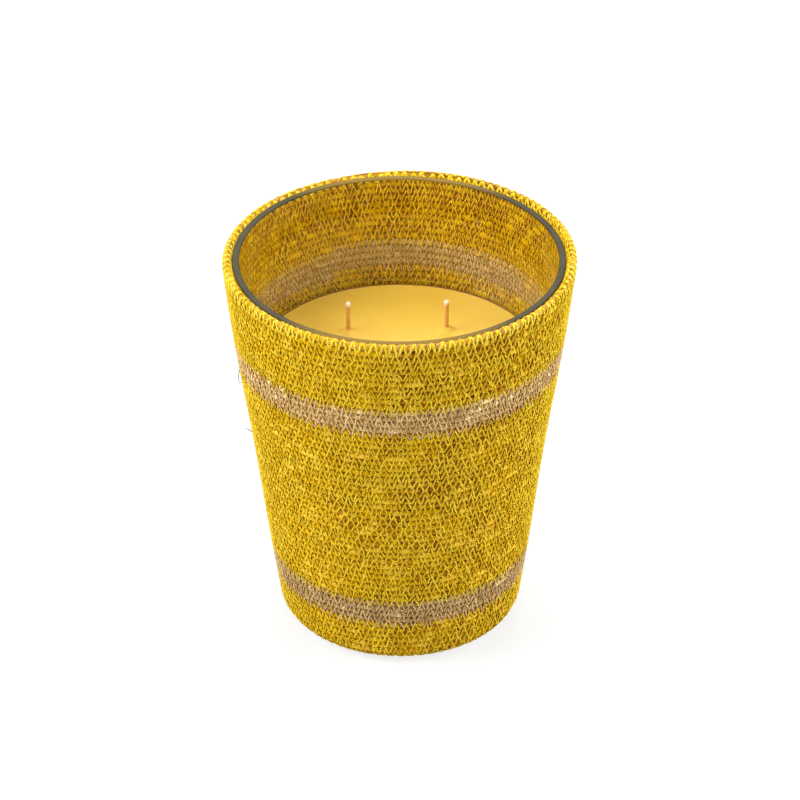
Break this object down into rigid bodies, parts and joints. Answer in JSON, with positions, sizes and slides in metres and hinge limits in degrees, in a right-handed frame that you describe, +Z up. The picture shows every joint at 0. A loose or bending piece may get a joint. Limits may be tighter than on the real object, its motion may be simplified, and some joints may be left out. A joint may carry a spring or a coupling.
{
  "type": "scented candle",
  "caption": "Wide scented candle of yellow wax in a clear tapered glass tumbler, which stands in and lifts out of a coiled-cord basket with natural bands.",
  "frame": {"origin": "middle of the basket's underside, on the surface that the candle stands on", "axes": "+Z up along the basket's axis, -Y towards the viewer of the picture, +X to the viewer's right"},
  "size_m": [0.1493, 0.1493, 0.175],
  "materials": {
    "yellow_thread": "yellow twine stitched over straw-brown cord, dull",
    "natural_thread": "undyed twine stitched over straw-brown cord, dull",
    "clear_glass": "clear, smooth, with a fire-polished rim",
    "yellow_wax": "smooth poured wax, slightly translucent, soft sheen",
    "waxed_cotton": "braided cotton coated in wax, bare and white at the tip",
    "tin": "thin tinned sheet, satin",
    "white_foam": "adhesive foam pad, dull"
  },
  "bodies": {
    "basket": {"basket_base": "yellow_thread", "basket_wall_foot": "yellow_thread", "basket_band_lower": "natural_thread", "basket_wall_middle": "yellow_thread", "basket_band_upper": "natural_thread", "basket_wall_rim": "yellow_thread"},
    "candle": {"glass_jar": "clear_glass", "wax": "yellow_wax", "wick_back_right": "waxed_cotton", "wick_back_left": "waxed_cotton", "wick_front_left": "waxed_cotton", "wick_front_right": "waxed_cotton", "wick_clip_back_right": "tin", "wick_clip_back_left": "tin", "wick_clip_front_left": "tin", "wick_clip_front_right": "tin", "clip_sticker_back_right": "white_foam", "clip_sticker_back_left": "white_foam", "clip_sticker_front_left": "white_foam", "clip_sticker_front_right": "white_foam"}
  },
  "joints": [
    {"name": "candle_lift", "type": "slide", "parent": "basket", "child": "candle", "axis": [0, 0, 1], "range_m": [0, 0.18]}
  ]
}
